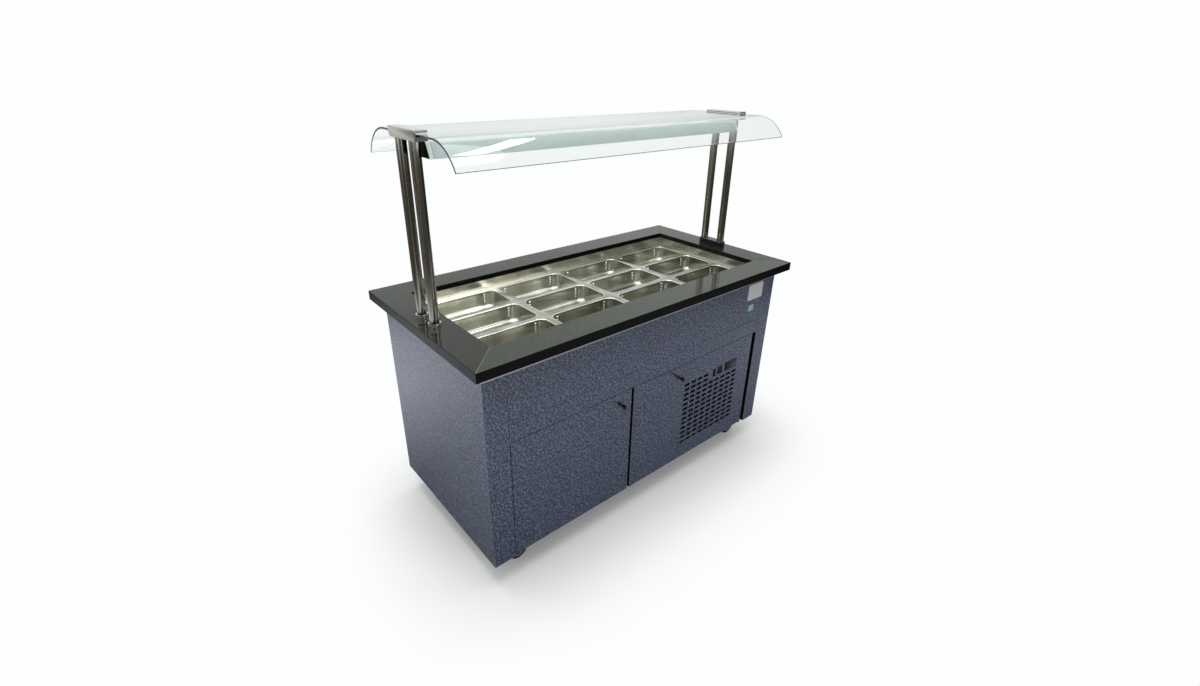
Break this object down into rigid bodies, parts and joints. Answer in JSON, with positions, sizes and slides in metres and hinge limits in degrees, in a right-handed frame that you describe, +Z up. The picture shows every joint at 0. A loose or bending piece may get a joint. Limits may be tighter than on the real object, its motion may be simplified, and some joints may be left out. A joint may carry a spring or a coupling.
{
  "type": "cold buffet counter",
  "caption": "Free-standing chilled buffet counter on casters: laminate cabinet with doors, stone top with a sunken well of food pans, and a gantry with a lamp and curved glass sneeze guard.",
  "frame": {"origin": "on the floor under the middle of the counter", "axes": "+X along the counter's length, doors face -Y, +Z up"},
  "size_m": [1.55, 0.785, 1.499],
  "materials": {
    "granite": "polished black stone",
    "laminate": "mottled slate-blue laminate, satin",
    "board": "pale melamine-faced board",
    "stainless": "brushed stainless steel",
    "post_steel": "polished stainless tube",
    "black_frame": "black powder coat",
    "zinc_steel": "zinc-plated steel",
    "chrome": "chrome plate",
    "brass": "dull brass",
    "copper": "copper tube",
    "aluminium": "plain aluminium",
    "foam": "rigid foam",
    "black_plastic": "black moulded plastic",
    "clear_glass": "clear toughened glass, greenish edges",
    "lamp_glass": "opal lamp glass",
    "white_paint": "pale grey powder coat",
    "caster_rubber": "black rubber"
  },
  "bodies": {
    "cabinet": {"base_frame": "black_frame", "base_deck": "board", "left_end_panel": "laminate", "right_end_panel": "laminate", "back_panel": "laminate", "front_boards": "laminate", "partition": "board", "top_frame": "stainless", "top_front": "granite", "top_back": "granite", "top_left": "granite", "top_right": "granite", "well_liner": "stainless", "well_insulation": "foam", "evaporator_coil": "copper", "pan_support_bars": "stainless", "door_pivots": "zinc_steel", "compressor": "black_frame", "condenser": "aluminium", "fan_motor": "black_frame", "refrigerant_pipes": "copper", "gantry_posts": "post_steel", "left_post_collars": "chrome", "right_post_shoe": "black_plastic", "left_glass_clamp": "stainless", "right_glass_clamp": "stainless", "glass_canopy": "clear_glass", "lamp_trough": "white_paint", "lamp_tubes": "lamp_glass", "caster_plates": "zinc_steel"},
    "pan_1_1": {"pan_1_1": "stainless"},
    "pan_1_2": {"pan_1_2": "stainless"},
    "pan_1_3": {"pan_1_3": "stainless"},
    "pan_2_1": {"pan_2_1": "stainless"},
    "pan_2_2": {"pan_2_2": "stainless"},
    "pan_2_3": {"pan_2_3": "stainless"},
    "pan_3_1": {"pan_3_1": "stainless"},
    "pan_3_2": {"pan_3_2": "stainless"},
    "pan_3_3": {"pan_3_3": "stainless"},
    "pan_4_1": {"pan_4_1": "stainless"},
    "pan_4_2": {"pan_4_2": "stainless"},
    "pan_4_3": {"pan_4_3": "stainless"},
    "left_door": {"left_door": "laminate", "left_lock": "black_plastic"},
    "left_key": {"left_key": "brass"},
    "right_door": {"right_door": "laminate", "right_lock": "black_plastic", "control_housings": "black_plastic"},
    "right_key": {"right_key": "brass"},
    "power_rocker": {"power_rocker": "black_plastic"},
    "light_rocker": {"light_rocker": "black_plastic"},
    "fan": {"fan_blade": "aluminium"},
    "front_left_fork": {"front_left_fork": "zinc_steel"},
    "front_left_wheel": {"front_left_wheel": "caster_rubber"},
    "front_right_fork": {"front_right_fork": "zinc_steel"},
    "front_right_wheel": {"front_right_wheel": "caster_rubber"},
    "back_left_fork": {"back_left_fork": "zinc_steel"},
    "back_left_wheel": {"back_left_wheel": "caster_rubber"},
    "back_right_fork": {"back_right_fork": "zinc_steel"},
    "back_right_wheel": {"back_right_wheel": "caster_rubber"}
  },
  "joints": [
    {"name": "pan_1_1_lift", "type": "slide", "parent": "cabinet", "child": "pan_1_1", "axis": [0, 0, 1], "range_m": [0, 0.25]},
    {"name": "pan_1_2_lift", "type": "slide", "parent": "cabinet", "child": "pan_1_2", "axis": [0, 0, 1], "range_m": [0, 0.25]},
    {"name": "pan_1_3_lift", "type": "slide", "parent": "cabinet", "child": "pan_1_3", "axis": [0, 0, 1], "range_m": [0, 0.25]},
    {"name": "pan_2_1_lift", "type": "slide", "parent": "cabinet", "child": "pan_2_1", "axis": [0, 0, 1], "range_m": [0, 0.25]},
    {"name": "pan_2_2_lift", "type": "slide", "parent": "cabinet", "child": "pan_2_2", "axis": [0, 0, 1], "range_m": [0, 0.25]},
    {"name": "pan_2_3_lift", "type": "slide", "parent": "cabinet", "child": "pan_2_3", "axis": [0, 0, 1], "range_m": [0, 0.25]},
    {"name": "pan_3_1_lift", "type": "slide", "parent": "cabinet", "child": "pan_3_1", "axis": [0, 0, 1], "range_m": [0, 0.25]},
    {"name": "pan_3_2_lift", "type": "slide", "parent": "cabinet", "child": "pan_3_2", "axis": [0, 0, 1], "range_m": [0, 0.25]},
    {"name": "pan_3_3_lift", "type": "slide", "parent": "cabinet", "child": "pan_3_3", "axis": [0, 0, 1], "range_m": [0, 0.25]},
    {"name": "pan_4_1_lift", "type": "slide", "parent": "cabinet", "child": "pan_4_1", "axis": [0, 0, 1], "range_m": [0, 0.25]},
    {"name": "pan_4_2_lift", "type": "slide", "parent": "cabinet", "child": "pan_4_2", "axis": [0, 0, 1], "range_m": [0, 0.25]},
    {"name": "pan_4_3_lift", "type": "slide", "parent": "cabinet", "child": "pan_4_3", "axis": [0, 0, 1], "range_m": [0, 0.25]},
    {"name": "left_door_hinge", "type": "hinge", "parent": "cabinet", "child": "left_door", "pos_m": [-0.643, -0.33905, 0.347], "axis": [0, 0, -1], "range_deg": [0, 95]},
    {"name": "right_door_hinge", "type": "hinge", "parent": "cabinet", "child": "right_door", "pos_m": [0.63, -0.33905, 0.347], "axis": [0, 0, 1], "range_deg": [0, 95]},
    {"name": "left_key_turn", "type": "hinge", "parent": "left_door", "child": "left_key", "pos_m": [-0.1795, -0.34705, 0.5385], "axis": [0, 1, 0], "range_deg": [0, 90]},
    {"name": "right_key_turn", "type": "hinge", "parent": "right_door", "child": "right_key", "pos_m": [0.137, -0.34705, 0.5385], "axis": [0, 1, 0], "range_deg": [0, 90]},
    {"name": "power_switch", "type": "hinge", "parent": "right_door", "child": "power_rocker", "pos_m": [0.38, -0.34205, 0.4705], "axis": [1, 0, 0], "range_deg": [0, 16]},
    {"name": "light_switch", "type": "hinge", "parent": "right_door", "child": "light_rocker", "pos_m": [0.4175, -0.34205, 0.4715], "axis": [1, 0, 0], "range_deg": [0, 16]},
    {"name": "fan_spin", "type": "hinge", "parent": "cabinet", "child": "fan", "pos_m": [0.364, -0.18905, 0.302], "axis": [0, 1, 0], "continuous": true},
    {"name": "front_left_swivel", "type": "hinge", "parent": "cabinet", "child": "front_left_fork", "pos_m": [-0.623, -0.266, 0.106], "axis": [0, 0, 1], "continuous": true},
    {"name": "front_left_roll", "type": "hinge", "parent": "front_left_fork", "child": "front_left_wheel", "pos_m": [-0.6, -0.266, 0.04], "axis": [0, 1, 0], "continuous": true},
    {"name": "front_right_swivel", "type": "hinge", "parent": "cabinet", "child": "front_right_fork", "pos_m": [0.623, -0.266, 0.106], "axis": [0, 0, 1], "continuous": true},
    {"name": "front_right_roll", "type": "hinge", "parent": "front_right_fork", "child": "front_right_wheel", "pos_m": [0.646, -0.266, 0.04], "axis": [0, 1, 0], "continuous": true},
    {"name": "back_left_swivel", "type": "hinge", "parent": "cabinet", "child": "back_left_fork", "pos_m": [-0.623, 0.266, 0.106], "axis": [0, 0, 1], "continuous": true},
    {"name": "back_left_roll", "type": "hinge", "parent": "back_left_fork", "child": "back_left_wheel", "pos_m": [-0.6, 0.266, 0.04], "axis": [0, 1, 0], "continuous": true},
    {"name": "back_right_swivel", "type": "hinge", "parent": "cabinet", "child": "back_right_fork", "pos_m": [0.623, 0.266, 0.106], "axis": [0, 0, 1], "continuous": true},
    {"name": "back_right_roll", "type": "hinge", "parent": "back_right_fork", "child": "back_right_wheel", "pos_m": [0.646, 0.266, 0.04], "axis": [0, 1, 0], "continuous": true}
  ]
}
